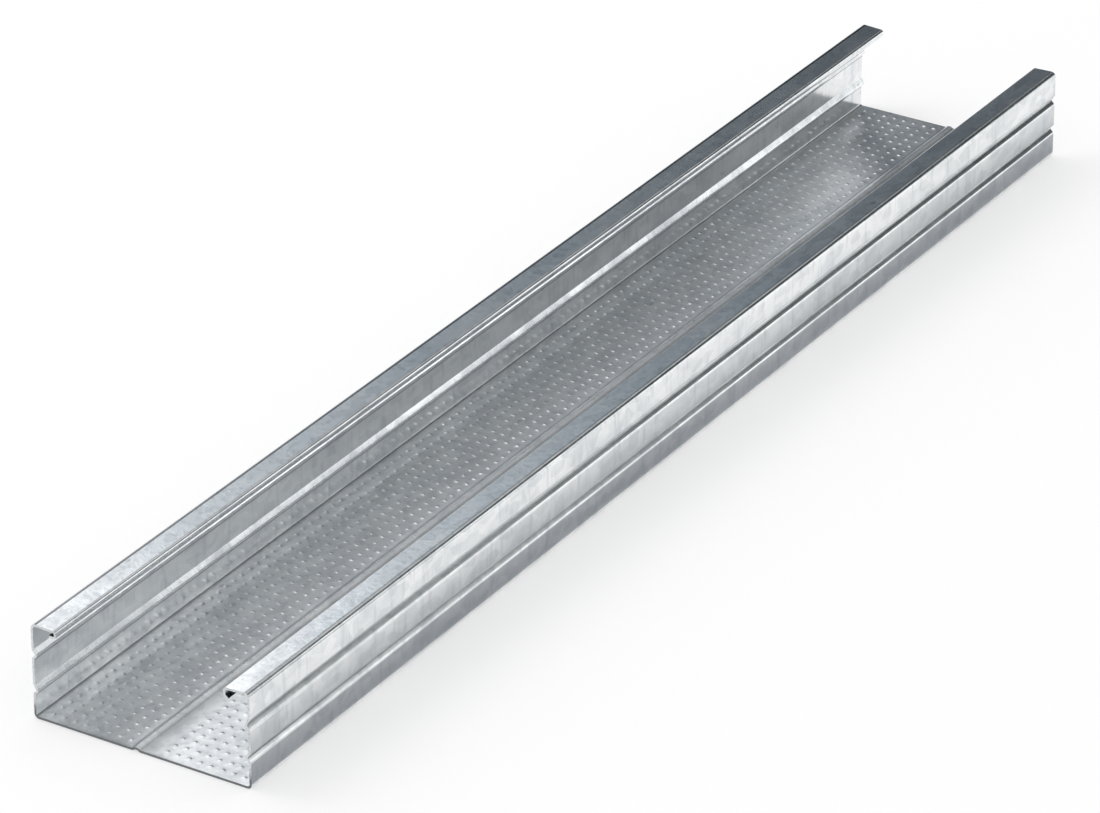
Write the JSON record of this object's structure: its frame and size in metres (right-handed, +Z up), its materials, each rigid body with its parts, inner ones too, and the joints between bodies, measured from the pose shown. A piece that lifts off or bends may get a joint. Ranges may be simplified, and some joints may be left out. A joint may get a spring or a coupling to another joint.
{
  "type": "ceiling channel",
  "caption": "Roll-formed galvanised C-shaped ceiling channel with grooved flanges, hemmed inturned lips, a dimpled web and a middle bead.",
  "frame": {"origin": "underside of the web, midway across the web and midway along the stock", "axes": "+X across the web from the left flange to the right one, +Y along the stock from the near end to the far end, +Z up from the web to the open side between the lips"},
  "size_m": [0.06, 0.385, 0.0249],
  "materials": {
    "galvanised_sheet": "hot-dip galvanised, faint spangle, semi-bright"
  },
  "bodies": {
    "root": {"channel": "galvanised_sheet"}
  },
  "joints": []
}
